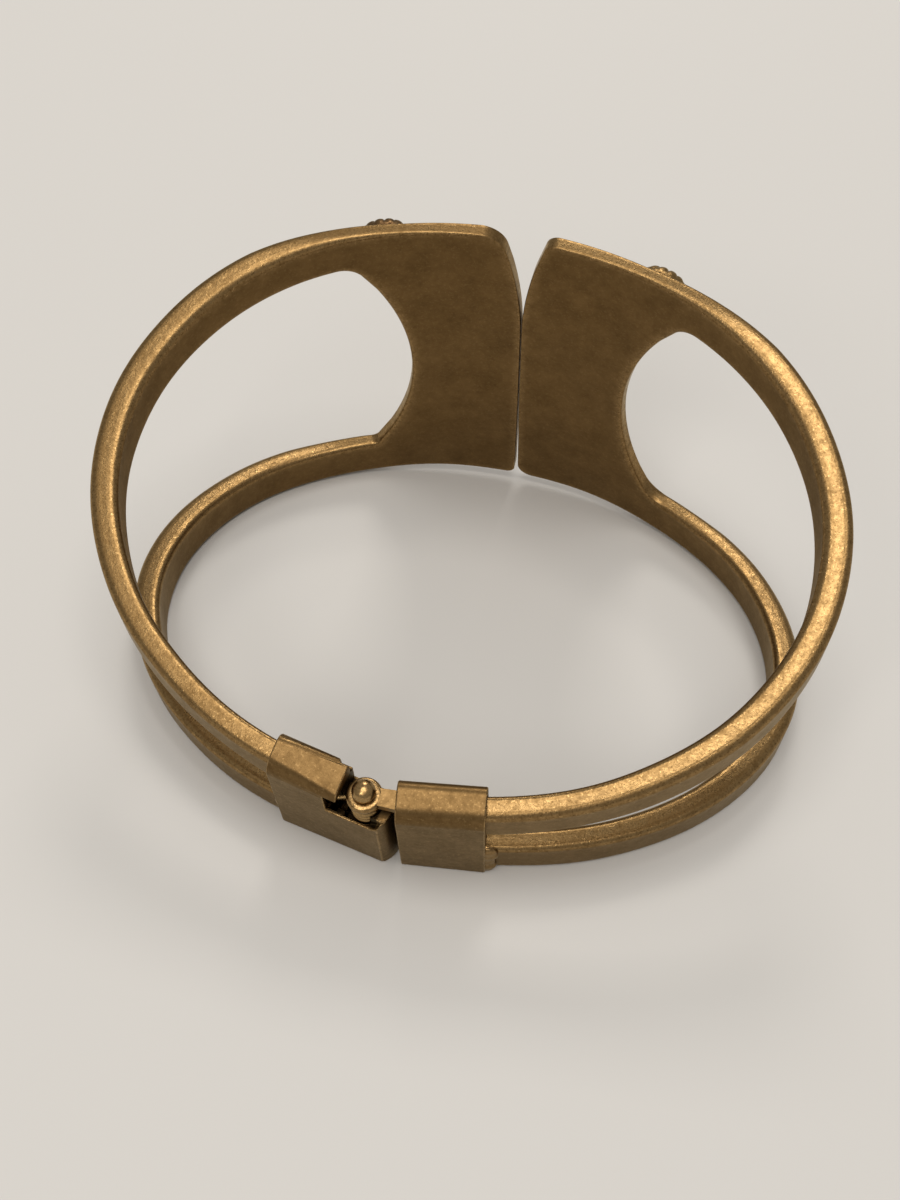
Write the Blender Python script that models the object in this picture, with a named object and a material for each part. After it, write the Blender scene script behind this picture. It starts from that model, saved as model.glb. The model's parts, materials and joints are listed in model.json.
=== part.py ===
"""Hinged oval bangle in aged brass: two open-work halves joined by a boxed spring hinge.

The bangle is modelled in its own frame: X to the right, Y from the hinge to the front plates,
Z along the hinge pin, with the middle of the oval at the origin. An empty then leans the whole
bangle back, so that it lies on its lower rim with that rim on the ground.
"""
import math

import bmesh
import bpy
import numpy as np
from mathutils import Matrix, Vector

MM = 0.001

# Wrist opening, an oval measured inside the band
INNER_WIDTH = 60.0 * MM
INNER_DEPTH = 46.4 * MM

# Band: wall thickness, and the height between the two rims at the front and at the hinge
BAND_THICKNESS = 2.0 * MM
PLATE_THICKNESS = 1.3 * MM
THICKENING_LENGTH = 13.0 * MM
PLATE_HEIGHT = 38.0 * MM
HINGE_HEIGHT = 13.2 * MM
LEVEL_RIM_DEPTH = 4.2 * MM
RIM_KNEE_SOFTNESS = 1.0 * MM
EDGE_ROUND = 0.45 * MM

# Open-work: rails above and below the slot, and the rounded end of the slot in the plate
UPPER_RAIL = 4.3 * MM
LOWER_RAIL = 5.0 * MM
SLOT_FROM_SPLIT = 10.6 * MM
SLOT_END_RADIUS = 25.0 * MM
SLOT_TOP_CORNER = 2.4 * MM
SLOT_BOTTOM_CORNER = 0.9 * MM

# Free ends of the plates: they meet low down and stand apart at the top
SPLIT_GAP = 0.4 * MM
SPLIT_SET_BACK_TOP = 2.0 * MM
SPLIT_SET_BACK_BOTTOM = 0.5 * MM
LEFT_PLATE_TOP_CORNER = 2.6 * MM
RIGHT_PLATE_TOP_CORNER = 1.2 * MM
PLATE_BOTTOM_CORNER = 1.4 * MM

# Shares of the plate's end and of the slot's end that lie between their rounded corners
SPLIT_BETWEEN_CORNERS = 0.78
SLOT_BETWEEN_CORNERS = 0.75

# Hinge boxes
CLEARANCE = 0.3 * MM
BOX_WALL = 0.4 * MM
BOX_TOP_ROUND = 1.3 * MM
BOX_EDGE_ROUND = 0.2 * MM
LEFT_BOX_START = 10.4 * MM
RIGHT_BOX_START = 7.6 * MM
LEFT_RAIL_IN_BOX = 4.6 * MM
RIGHT_RAIL_IN_BOX = 4.2 * MM
BOX_END_RADIUS = 2.4 * MM
BOX_SEAT = 0.06 * MM
LEFT_BOX_TANGENT = 0.7
RIGHT_BOX_TANGENT = 0.5
WINDOW_LENGTH = 1.2 * MM
WINDOW_HEIGHT = 3.2 * MM
WINDOW_TO_PIN = 0.8 * MM
WINDOW_RUN_OUT = 1.1 * MM
WELL_WALL = 0.3 * MM
ROOF_RELIEF_RADIUS = 0.6 * MM

# Pin, with its axis in the left box
PIN_FROM_MIDDLE = 2.4 * MM
PIN_DIAMETER = 0.9 * MM
PIN_HEAD_DIAMETER = 2.0 * MM
PIN_HEAD_HEIGHT = 0.95 * MM
PIN_RUNNING_GAP = 0.25 * MM
PIN_CHAMFER = 0.1 * MM

# Spring round the pin, in the well of the left box
WIRE_DIAMETER = 0.5 * MM
COIL_DIAMETER = 2.4 * MM
COIL_PITCH = 1.0 * MM
COIL_TURNS = 2
LEFT_LEG_LENGTH = 2.8 * MM
RIGHT_LEG_LENGTH = 3.4 * MM
LEFT_LEG_ANGLE = math.radians(25.0)
RIGHT_LEG_ANGLE = math.radians(6.0)

# Tongue of the right half: an eye on the pin, between its head and the coil
EYE_THICKNESS = 0.9 * MM
EYE_DIAMETER = 2.8 * MM
EYE_BELOW_TOP = 1.25 * MM
EYE_ROOM = 0.4 * MM
TONGUE_WIDTH = 1.9 * MM
TONGUE_WEB = 1.3 * MM
TONGUE_STEP = 0.05 * MM
LEG_ROOM = 1.25 * MM

# Cast ornament at the top of each plate's outer face
ORNAMENT_LENGTH = 4.4 * MM
ORNAMENT_HEIGHT = 2.8 * MM
ORNAMENT_RISE = 1.1 * MM
ORNAMENT_FROM_SPLIT = 12.2 * MM
ORNAMENT_BELOW_RIM = 1.5 * MM

# Facets
COLUMN_STEP = 2.2 * MM
ROUND_STEPS = 24

AGED_BRASS = (0.24, 0.16, 0.075, 1.0)
BOX_BRASS = (0.22, 0.15, 0.07, 1.0)
PIN_BRASS = (0.36, 0.24, 0.105, 1.0)
SPRING_BRASS = (0.32, 0.21, 0.09, 1.0)
ORNAMENT_BRASS = (0.26, 0.175, 0.08, 1.0)

# The inner oval by arc length, from the split at the front (0) round to the hinge
HALF_WIDTH = INNER_WIDTH / 2
HALF_DEPTH = INNER_DEPTH / 2
TURN = np.linspace(0.0, math.pi, 4001)
OVAL_X = HALF_WIDTH * np.sin(TURN)
OVAL_Y = HALF_DEPTH * np.cos(TURN)
OVAL_ARC = np.concatenate([[0.0], np.cumsum(np.hypot(np.diff(OVAL_X), np.diff(OVAL_Y)))])
HALF_PERIMETER = float(OVAL_ARC[-1])

# The rims are planes from the hinge up to the plates, where they turn level
LEVEL_RIM_START = HALF_DEPTH - LEVEL_RIM_DEPTH
RIM_SLOPE = (PLATE_HEIGHT - HINGE_HEIGHT) / 2 / (LEVEL_RIM_START + HALF_DEPTH)
RIM_ANGLE = math.atan(RIM_SLOPE)

# Levels inside the hinge, measured along the pin from the middle of the band
BOX_PROUD = BOX_WALL + CLEARANCE
BOX_THICKNESS = BAND_THICKNESS + 2 * (BOX_WALL + CLEARANCE)
POCKET_WIDTH = BOX_THICKNESS - 2 * BOX_WALL
PIN_RADIUS = PIN_DIAMETER / 2
BORE_RADIUS = PIN_RADIUS + PIN_RUNNING_GAP
WIRE_RADIUS = WIRE_DIAMETER / 2
COIL_RADIUS = COIL_DIAMETER / 2 - WIRE_RADIUS
COIL_SWEEP = 2 * math.pi * COIL_TURNS + LEFT_LEG_ANGLE + RIGHT_LEG_ANGLE
COIL_RISE = COIL_PITCH * COIL_SWEEP / (2 * math.pi)
HINGE_TOP = HINGE_HEIGHT / 2 - RIM_SLOPE * BAND_THICKNESS / 2 + BOX_PROUD
EYE_TOP = HINGE_TOP - EYE_BELOW_TOP
EYE_BOTTOM = EYE_TOP - EYE_THICKNESS
COIL_TOP = EYE_BOTTOM - CLEARANCE - WIRE_RADIUS
COIL_BOTTOM = COIL_TOP - COIL_RISE
WELL_TOP = COIL_TOP - WIRE_RADIUS - CLEARANCE
WELL_BOTTOM = COIL_BOTTOM - WIRE_RADIUS - CLEARANCE
HINGE_BOTTOM = -(HINGE_HEIGHT / 2 - RIM_SLOPE * (BAND_THICKNESS + COIL_DIAMETER) / 2)
WEB_BOTTOM = HINGE_BOTTOM + BOX_WALL + 2 * CLEARANCE
NOTCH_RADIUS = EYE_DIAMETER / 2 + EYE_ROOM


def brass(name, colour, roughness):
    """A metal material of one colour."""
    material = bpy.data.materials.new(name)
    material.use_nodes = True
    shader = material.node_tree.nodes["Principled BSDF"]
    shader.inputs["Base Color"].default_value = colour
    shader.inputs["Roughness"].default_value = roughness
    shader.inputs["Metallic"].default_value = 1.0
    return material


def empty(name, parent=None, location=(0.0, 0.0, 0.0)):
    """A plain axis that other objects hang from."""
    pivot = bpy.data.objects.new(name, None)
    pivot.parent = parent
    pivot.location = location
    bpy.context.collection.objects.link(pivot)
    return pivot


def place(name, data, parent, material=None):
    """Link an object whose mesh is in the bangle's frame, and hang it from an empty."""
    item = bpy.data.objects.new(name, data)
    bpy.context.collection.objects.link(item)
    item.parent = parent
    item.location = -parent.location if parent.parent else Vector()
    if material:
        data.materials.append(material)
    return item


def mesh_from(bm, name, smooth_degrees=40.0):
    """Close a bmesh into a mesh with its faces outwards."""
    bmesh.ops.recalc_face_normals(bm, faces=bm.faces)
    if bm.calc_volume(signed=True) < 0:
        bmesh.ops.reverse_faces(bm, faces=bm.faces)
    mesh = bpy.data.meshes.new(name)
    bm.to_mesh(mesh)
    bm.free()
    mesh.shade_smooth()
    mesh.set_sharp_from_angle(angle=math.radians(smooth_degrees))
    return mesh


def boolean(item, tool, operation="DIFFERENCE"):
    """Cut or join an item with a tool, which is then hidden."""
    tool.hide_render = True
    tool.display_type = "WIRE"
    modifier = item.modifiers.new(tool.name, "BOOLEAN")
    modifier.operation = operation
    modifier.object = tool


def oval_point(arc, depth):
    """Plan position at an arc length on the inner oval, pushed outwards by a depth."""
    turn = np.interp(arc, OVAL_ARC, TURN)
    x = HALF_WIDTH * np.sin(turn)
    y = HALF_DEPTH * np.cos(turn)
    normal_x = np.sin(turn) / HALF_WIDTH
    normal_y = np.cos(turn) / HALF_DEPTH
    length = np.hypot(normal_x, normal_y)
    return x + depth * normal_x / length, y + depth * normal_y / length


def arc_near_hinge(x):
    """Arc length at which the oval comes within x of the middle, on the hinge's side."""
    far = len(TURN) // 2
    return float(np.interp(-x, -OVAL_X[far:], OVAL_ARC[far:]))


def rim_plane(y):
    """Height of the plane that holds the upper rim, at a depth y."""
    return HINGE_HEIGHT / 2 + RIM_SLOPE * (y + HALF_DEPTH)


def rim_height(y):
    """Half the band's height at a depth y: the rim's plane, turned level across the plates."""
    before = (LEVEL_RIM_START - y) / RIM_KNEE_SOFTNESS
    drop = RIM_KNEE_SOFTNESS * np.logaddexp(0.0, before)
    return PLATE_HEIGHT / 2 - RIM_SLOPE * drop


def rim_at(arc):
    return float(rim_height(oval_point(arc, 0.0)[1]))


def wall_thickness(arc):
    """The plate is thin; the wall thickens along the rails, from the end of the slot."""
    share = np.clip((arc - SLOT_FROM_SPLIT) / THICKENING_LENGTH, 0.0, 1.0)
    return PLATE_THICKNESS + (BAND_THICKNESS - PLATE_THICKNESS) * share


def fillet(before, corner, after, radius, steps=5):
    """Points of an arc that rounds a corner of an outline."""
    corner = Vector(corner)
    back = (Vector(before) - corner).normalized()
    on = (Vector(after) - corner).normalized()
    half = back.angle(on) / 2
    run = radius / math.tan(half)
    centre = corner + (back + on).normalized() * (radius / math.sin(half))
    first = corner + back * run - centre
    last = corner + on * run - centre
    points = []
    for step in range(steps + 1):
        ray = first.lerp(last, step / steps).normalized() * radius
        points.append(tuple(centre + ray))
    return points


def split_edge(level):
    """Distance of the plate's free end from the split at a level."""
    share = level / (PLATE_HEIGHT / 2)
    set_back = SPLIT_SET_BACK_TOP if share > 0 else SPLIT_SET_BACK_BOTTOM
    return SPLIT_GAP / 2 + set_back * share * share


def slot_edge(level):
    """Arc length of the slot's rounded end at a level."""
    return SLOT_FROM_SPLIT + SLOT_END_RADIUS - math.sqrt(SLOT_END_RADIUS ** 2 - level ** 2)


def half_outline(box_start, rail_end, top_corner_radius):
    """Outline of one half laid flat: arc length from the split, and height.

    The lower rail is stepped where it enters its box, whose floor then lies level with the rim.
    """
    shoulder = box_start - CLEARANCE
    step = BOX_WALL + CLEARANCE
    edge = rim_at(0.0)
    slot_top = rim_at(SLOT_FROM_SPLIT) - UPPER_RAIL
    slot_bottom = -(rim_at(SLOT_FROM_SPLIT) - LOWER_RAIL)
    columns = np.arange(2 * COLUMN_STEP, rail_end, COLUMN_STEP)
    outside = [arc for arc in columns if arc < shoulder - COLUMN_STEP / 2]
    slot_start = slot_edge(slot_top) + 2 * COLUMN_STEP
    slotted = [arc for arc in columns if slot_start < arc < rail_end - COLUMN_STEP / 2]
    end_levels = np.linspace(-edge, edge, 9) * SPLIT_BETWEEN_CORNERS
    slot_levels = np.linspace(slot_bottom, slot_top, 9) * SLOT_BETWEEN_CORNERS

    bottom_edge = [(arc, -rim_at(arc)) for arc in outside]
    tenon = [
        (shoulder, -rim_at(shoulder)),
        (shoulder, -rim_at(shoulder) + step),
        (rail_end, -rim_at(rail_end) + step),
        (rail_end, -rim_at(rail_end) + LOWER_RAIL),
    ]
    slot_low = [(arc, -rim_at(arc) + LOWER_RAIL) for arc in reversed(slotted)]
    slot_end = [(slot_edge(level), level) for level in slot_levels]
    slot_high = [(arc, rim_at(arc) - UPPER_RAIL) for arc in slotted]
    upper_end = [(rail_end, rim_at(rail_end) - UPPER_RAIL), (rail_end, rim_at(rail_end))]
    top_edge = [(arc, rim_at(arc)) for arc in reversed(columns)]
    split = [(split_edge(level), level) for level in reversed(end_levels)]

    low_corner = (slot_edge(slot_bottom), slot_bottom)
    high_corner = (slot_edge(slot_top), slot_top)
    top_corner = (split_edge(edge), edge)
    bottom_corner = (split_edge(-edge), -edge)
    outline = fillet(split[-1], bottom_corner, bottom_edge[0], PLATE_BOTTOM_CORNER)
    outline += bottom_edge + tenon + slot_low
    outline += fillet(slot_low[-1], low_corner, slot_end[0], SLOT_BOTTOM_CORNER)
    outline += slot_end
    outline += fillet(slot_end[-1], high_corner, slot_high[0], SLOT_TOP_CORNER)
    outline += slot_high + upper_end + top_edge
    outline += fillet(top_edge[-1], top_corner, split[0], top_corner_radius)
    return outline + split


def bend(bm, side):
    """Bend a flat blank (arc length, depth, height) round the oval, on one side of the split.

    Heights are scaled with the depth, so that both rims stay planes across the wall.
    """
    flat = np.array([vertex.co for vertex in bm.verts])
    depth = flat[:, 1] * wall_thickness(flat[:, 0]) / BAND_THICKNESS
    x, y = oval_point(flat[:, 0], depth)
    inner_y = oval_point(flat[:, 0], 0.0)[1]
    height = flat[:, 2] * rim_height(y) / rim_height(inner_y)
    for vertex, place_x, place_y, place_z in zip(bm.verts, side * x, y, height):
        vertex.co = (place_x, place_y, place_z)


def make_half(name, side, box_start, rail_in_box, top_corner, parent, material):
    """Plate and two rails in one casting: a flat blank with rounded edges, bent to the oval."""
    box_arc = arc_near_hinge(box_start)
    outline = half_outline(box_arc, box_arc + rail_in_box, top_corner)
    bm = bmesh.new()
    face = bm.faces.new([bm.verts.new((arc, 0.0, level)) for arc, level in outline])
    wall = bmesh.ops.extrude_face_region(bm, geom=[face])
    lifted = [item for item in wall["geom"] if isinstance(item, bmesh.types.BMVert)]
    bmesh.ops.translate(bm, verts=lifted, vec=(0.0, BAND_THICKNESS, 0.0))
    bm.normal_update()
    flats = [item for item in bm.faces if abs(item.normal.y) > 0.9]
    edges = list({edge for item in flats for edge in item.edges})
    bmesh.ops.bevel(bm, geom=edges, offset=EDGE_ROUND, segments=2, profile=0.5, affect="EDGES")
    for arc in np.arange(COLUMN_STEP, HALF_PERIMETER, COLUMN_STEP):
        geometry = list(bm.verts) + list(bm.edges) + list(bm.faces)
        bmesh.ops.bisect_plane(bm, geom=geometry, dist=1e-7, plane_co=(arc, 0, 0), plane_no=(1, 0, 0))
    bmesh.ops.triangulate(bm, faces=bm.faces)
    bend(bm, side)
    return place(name, mesh_from(bm, name), parent, material)


def hinge_frame(x):
    """Axes of a hinge box that runs along the middle of the band at x.

    Its first axis runs along the box to the right, its second to the inside of the bangle. The
    box sits a little inside the tangent, because the rails curve inwards in it.
    """
    width = HALF_WIDTH + BAND_THICKNESS / 2
    depth = HALF_DEPTH + BAND_THICKNESS / 2
    y = -depth * math.sqrt(1.0 - (x / width) ** 2)
    slope = -(depth / width) ** 2 * x / y
    seat = Matrix.Translation((0.0, BOX_SEAT, 0.0))
    return Matrix.Translation((x, y, 0.0)) @ Matrix.Rotation(math.atan(slope), 4, "Z") @ seat


def along(frame, x):
    """Distance along a hinge box at which it passes x."""
    return (x - frame.translation.x) / frame[0][0]


def prism(frame, plan, low, high):
    """Upright prism on a plan in a hinge frame, between two levels or two sloping planes."""
    bm = bmesh.new()
    corners = [frame @ Vector((u, v, 0.0)) for u, v in plan]
    rings = []
    for level in (low, high):
        heights = [level(corner.y) if callable(level) else level for corner in corners]
        rings.append([bm.verts.new((corner.x, corner.y, height))
                      for corner, height in zip(corners, heights)])
    bm.faces.new(reversed(rings[0]))
    bm.faces.new(rings[1])
    count = len(plan)
    for first in range(count):
        second = (first + 1) % count
        bm.faces.new((rings[0][first], rings[0][second], rings[1][second], rings[1][first]))
    return bm


def rectangle(start, end, side, other):
    return [(start, side), (end, side), (end, other), (start, other)]


def circle(centre, radius, steps=ROUND_STEPS):
    points = []
    for step in range(steps):
        turn = 2 * math.pi * step / steps
        points.append((centre[0] + radius * math.cos(turn), centre[1] + radius * math.sin(turn)))
    return points


def box_floor(y):
    return -rim_plane(y)


def box_roof(y):
    return rim_plane(y) + BOX_PROUD


def pocket_floor(y):
    return -rim_plane(y) + BOX_WALL


def pocket_roof(y):
    return rim_plane(y) + BOX_PROUD - BOX_WALL


def round_top_sides(bm, radius, segments):
    """Round the two upper edges that run along a sleeve or its pocket."""
    bm.normal_update()
    top = [edge for edge in bm.edges if all(vertex.co.z > 0 for vertex in edge.verts)]
    sides = [edge for edge in top if any(abs(face.normal.y) > 0.9 for face in edge.link_faces)]
    bmesh.ops.bevel(bm, geom=sides, offset=radius, segments=segments, profile=0.5, affect="EDGES")


def make_box(name, frame, plan, parent, material):
    """Sleeve on the rails, with rounded top edges; its pockets are cut afterwards."""
    bm = prism(frame, plan, box_floor, box_roof)
    bottom = [edge for edge in bm.edges if all(vertex.co.z < 0 for vertex in edge.verts)]
    bmesh.ops.bevel(bm, geom=bottom, offset=BOX_EDGE_ROUND, segments=1, profile=0.5, affect="EDGES")
    round_top_sides(bm, BOX_TOP_ROUND, 8)
    return place(name, mesh_from(bm, name), parent, material)


def rail_pocket(frame, start, end):
    """Room for the ends of the rails in a sleeve, rounded at the top as the sleeve is."""
    half = POCKET_WIDTH / 2
    bm = prism(frame, rectangle(start, end, -half, half), pocket_floor, pocket_roof)
    round_top_sides(bm, BOX_TOP_ROUND - BOX_WALL, 5)
    return bm


def cut(item, name, bm, parent):
    """Take a prism out of an item."""
    boolean(item, place(name, mesh_from(bm, name), parent))


def join(item, name, bm, parent):
    """Add a prism to an item."""
    boolean(item, place(name, mesh_from(bm, name), parent), "UNION")


def upright_cutter(frame, outline, outside, inside):
    """Prism through the outer wall of a box, on an outline of (distance along, level)."""
    bm = bmesh.new()
    front = [bm.verts.new(frame @ Vector((u, outside, level))) for u, level in outline]
    back = [bm.verts.new(frame @ Vector((u, inside, level))) for u, level in outline]
    bm.faces.new(front)
    bm.faces.new(reversed(back))
    for first in range(len(outline)):
        second = (first + 1) % len(outline)
        bm.faces.new((front[first], front[second], back[second], back[first]))
    return bm


def lip_outline(start, pin_along, lip):
    """Opening in front of the coil: a level lip that runs out upwards beyond the pin."""
    top = WELL_TOP + CLEARANCE
    bend = pin_along + WINDOW_TO_PIN
    outline = [(start, top), (start, lip)]
    for turn in np.radians(np.arange(0.0, 91.0, 10.0)):
        outline.append((bend + WINDOW_RUN_OUT * math.sin(turn), lip + (top - lip) * (1 - math.cos(turn))))
    return outline


def make_left_box(frame, pin_along, parent, material):
    """Sleeve and knuckle: pocket for the rails, well for the coil, room for the eye above it.

    The outer wall is open beside and in front of the coil, down to a lip.
    """
    half = BOX_THICKNESS / 2
    start = along(frame, -LEFT_BOX_START)
    beyond = pin_along + 2 * BOX_END_RADIUS
    spread = math.asin(half / BOX_END_RADIUS)
    plan = [(start, -half)]
    for turn in np.linspace(-spread, spread, 15):
        plan.append((pin_along + BOX_END_RADIUS * math.cos(turn), BOX_END_RADIUS * math.sin(turn)))
    plan.append((start, half))
    box = make_box("left_hinge_box", frame, plan, parent, material)

    notch = pin_along - NOTCH_RADIUS
    knuckle = notch - BOX_WALL
    wide = 2 * half
    cut(box, "left_pocket", rail_pocket(frame, start - half, knuckle), parent)
    leg = rectangle(knuckle - BOX_WALL, pin_along, -COIL_RADIUS, COIL_RADIUS)
    cut(box, "leg_pocket", prism(frame, leg, WELL_BOTTOM + TONGUE_STEP, COIL_TOP), parent)
    beside_pin = rectangle(notch, beyond, -wide, wide)
    cut(box, "eye_notch", prism(frame, beside_pin, WELL_TOP, 2 * HINGE_TOP), parent)
    well_radius = half - WELL_WALL
    well = [(pin_along - well_radius, well_radius), (pin_along - well_radius, -well_radius)]
    for turn in np.linspace(-math.pi / 2, math.pi / 2, ROUND_STEPS // 2 + 1):
        well.append((pin_along + well_radius * math.cos(turn), well_radius * math.sin(turn)))
    cut(box, "coil_well", prism(frame, well, WELL_BOTTOM, 2 * HINGE_TOP), parent)
    roof = HINGE_TOP - BOX_TOP_ROUND
    lip = roof - WINDOW_HEIGHT
    left = notch - WINDOW_LENGTH
    right = notch + CLEARANCE
    window = [(right, roof), (left, roof), (left, lip), (right, lip)]
    cut(box, "spring_window", upright_cutter(frame, window, -wide, -COIL_RADIUS / 2), parent)
    opening = lip_outline(notch, pin_along, lip - TONGUE_STEP)
    cut(box, "spring_opening", upright_cutter(frame, opening, -wide, WELL_WALL - well_radius), parent)
    bore = circle((pin_along, 0.0), BORE_RADIUS)
    cut(box, "pin_bore", prism(frame, bore, -2 * HINGE_TOP, 2 * HINGE_TOP), parent)
    relief = circle((knuckle, half), ROOF_RELIEF_RADIUS, 12)
    cut(box, "roof_relief", prism(frame, relief, EYE_TOP, 2 * HINGE_TOP), parent)
    return box


def make_right_box(frame, start, end, parent, material):
    """Plain sleeve, open at both ends."""
    half = BOX_THICKNESS / 2
    box = make_box("right_hinge_box", frame, rectangle(start, end, -half, half), parent, material)
    cut(box, "right_pocket", rail_pocket(frame, start - half, end + half), parent)
    return box


def make_tongue(frame, pin, box_start, rail_start, parent, material):
    """Web in the mouth of the right box, a tail between its rails, and an eye on the pin.

    The web is a little wider and taller than the arm and the tail, which run into its middle.
    """
    half = TONGUE_WIDTH / 2
    inner_half = half - TONGUE_STEP
    web_start = box_start + LEG_ROOM
    web_middle = web_start + TONGUE_WEB / 2
    tail_end = rail_start + RIGHT_RAIL_IN_BOX - CLEARANCE
    tail_half = HINGE_HEIGHT / 2 - max(UPPER_RAIL, LOWER_RAIL) - CLEARANCE
    web_plan = rectangle(web_start, web_start + TONGUE_WEB, -half, half)
    web = prism(frame, web_plan, WEB_BOTTOM, EYE_TOP + TONGUE_STEP)
    tongue = place("hinge_tongue", mesh_from(web, "hinge_tongue"), parent, material)
    tail_plan = rectangle(web_middle, tail_end, -inner_half, inner_half)
    join(tongue, "tongue_tail", prism(frame, tail_plan, -tail_half, tail_half), parent)
    arm_half = EYE_DIAMETER / 4
    arm_plan = [(web_middle, -inner_half), (web_middle, inner_half)]
    arm_plan += [(pin[0], pin[1] + arm_half), (pin[0], pin[1] - arm_half)]
    arm = prism(frame, arm_plan, EYE_BOTTOM + TONGUE_STEP, EYE_TOP - TONGUE_STEP)
    join(tongue, "tongue_arm", arm, parent)
    eye = prism(frame, circle(pin, EYE_DIAMETER / 2), EYE_BOTTOM, EYE_TOP)
    join(tongue, "tongue_eye", eye, parent)
    bore = prism(frame, circle(pin, BORE_RADIUS), -2 * HINGE_TOP, 2 * HINGE_TOP)
    cut(tongue, "tongue_bore", bore, parent)
    return tongue


def lathe(profile):
    """Turn a profile of (radius, level), from the axis back to the axis, about Z."""
    bm = bmesh.new()
    points = [bm.verts.new((radius, 0.0, level)) for radius, level in profile]
    edges = [bm.edges.new(pair) for pair in zip(points, points[1:])]
    bmesh.ops.spin(bm, geom=points + edges, cent=(0, 0, 0), axis=(0, 0, 1), dvec=(0, 0, 0),
                   angle=2 * math.pi, steps=ROUND_STEPS, use_merge=True)
    bmesh.ops.remove_doubles(bm, verts=bm.verts, dist=1e-6)
    return bm


def dome(radius, rise, base, steps=6):
    """Quarter ellipse from the edge of a dome to its top."""
    points = []
    for step in range(steps):
        turn = math.pi / 2 * step / steps
        points.append((radius * math.cos(turn), base + rise * math.sin(turn)))
    return points + [(0.0, base + rise)]


def make_pin(centre, parent, material):
    """Turned pin with a ball head over the eye."""
    head = EYE_TOP + CLEARANCE
    foot = HINGE_BOTTOM
    profile = [(0.0, foot), (PIN_RADIUS - PIN_CHAMFER, foot), (PIN_RADIUS, foot + PIN_CHAMFER)]
    profile += [(PIN_RADIUS, head), (PIN_HEAD_DIAMETER / 2 - PIN_CHAMFER, head)]
    profile += dome(PIN_HEAD_DIAMETER / 2, PIN_HEAD_HEIGHT, head + PIN_CHAMFER)
    bm = lathe(profile)
    bmesh.ops.translate(bm, verts=bm.verts, vec=centre)
    return place("hinge_pin", mesh_from(bm, "hinge_pin"), parent, material)


def spring_route(pin_along):
    """Wire of the spring in the left box's frame: left leg, coil, right leg."""
    first = math.pi / 2 + LEFT_LEG_ANGLE
    last = first - COIL_SWEEP
    leg_steps = np.linspace(0.0, 1.0, 5)[1:]
    coil = []
    for share in np.linspace(0.0, 1.0, 10 * COIL_TURNS + 2):
        turn = first - COIL_SWEEP * share
        ray = Vector((math.cos(turn), math.sin(turn), 0.0)) * COIL_RADIUS
        coil.append(Vector((pin_along, 0.0, COIL_BOTTOM + COIL_RISE * share)) + ray)
    left_way = Vector((-math.sin(first), math.cos(first), 0.0)) * LEFT_LEG_LENGTH
    right_way = Vector((math.sin(last), -math.cos(last), 0.0)) * RIGHT_LEG_LENGTH
    left = [coil[0] + left_way * share for share in reversed(leg_steps)]
    right = [coil[-1] + right_way * share for share in leg_steps]
    return left + coil + right


def least_self_gap(route):
    """Least distance between the surfaces of two stretches of the wire a third of a turn apart."""
    points = np.array(route)
    pieces = []
    for start, end in zip(points, points[1:]):
        pieces.append(start + (end - start) * np.linspace(0.0, 1.0, 8, endpoint=False)[:, None])
    fine = np.vstack(pieces)
    travelled = np.concatenate([[0.0], np.cumsum(np.linalg.norm(np.diff(fine, axis=0), axis=1))])
    apart = np.linalg.norm(fine[:, None] - fine[None], axis=2)
    far_on_wire = np.abs(travelled[:, None] - travelled[None]) > 2 * math.pi * COIL_RADIUS / 3
    return float(apart[far_on_wire].min()) - WIRE_DIAMETER


def make_spring(frame, pin_along, parent, material):
    """Torsion spring in one unbroken wire."""
    route = spring_route(pin_along)
    print("spring: least gap to itself %.2f mm" % (least_self_gap(route) / MM))
    curve = bpy.data.curves.new("torsion_spring", "CURVE")
    curve.dimensions = "3D"
    curve.bevel_depth = WIRE_RADIUS
    curve.bevel_resolution = 1
    curve.use_fill_caps = True
    wire = curve.splines.new("POLY")
    wire.points.add(len(route) - 1)
    for point, local in zip(wire.points, route):
        point.co = (*(frame @ local), 1.0)
    return place("torsion_spring", curve, parent, material)


def make_ornament(name, side, parent, material):
    """Low oval dome on the plate's outer face, just under the upper rim."""
    wall = wall_thickness(ORNAMENT_FROM_SPLIT)
    x, y = oval_point(ORNAMENT_FROM_SPLIT, wall + CLEARANCE)
    inner_x, inner_y = oval_point(ORNAMENT_FROM_SPLIT, 0.0)
    outward = Vector((side * (x - inner_x), y - inner_y, 0.0)).normalized()
    upward = Vector((0.0, 0.0, 1.0))
    sideways = upward.cross(outward)
    centre = Vector((side * x, y, rim_at(ORNAMENT_FROM_SPLIT) - ORNAMENT_BELOW_RIM))
    bm = lathe([(0.0, 0.0)] + dome(1.0, 1.0, 0.0))
    for vertex in bm.verts:
        across = sideways * (vertex.co.x * ORNAMENT_LENGTH / 2)
        up = upward * (vertex.co.y * ORNAMENT_HEIGHT / 2)
        vertex.co = centre + across + up + outward * (vertex.co.z * ORNAMENT_RISE)
    return place(name, mesh_from(bm, name), parent, material)


def centre_base(rest):
    """Set the bangle on the ground, with the middle of its base box at the origin."""
    bpy.context.view_layer.update()
    graph = bpy.context.evaluated_depsgraph_get()
    points = []
    for item in bpy.data.objects:
        if item.type != "EMPTY" and not item.hide_render:
            evaluated = item.evaluated_get(graph)
            mesh = evaluated.to_mesh()
            points += [evaluated.matrix_world @ vertex.co for vertex in mesh.vertices]
            evaluated.to_mesh_clear()
    low = np.min(points, axis=0)
    high = np.max(points, axis=0)
    middle = (low + high) / 2
    rest.location -= Vector((middle[0], middle[1], low[2]))


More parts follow.
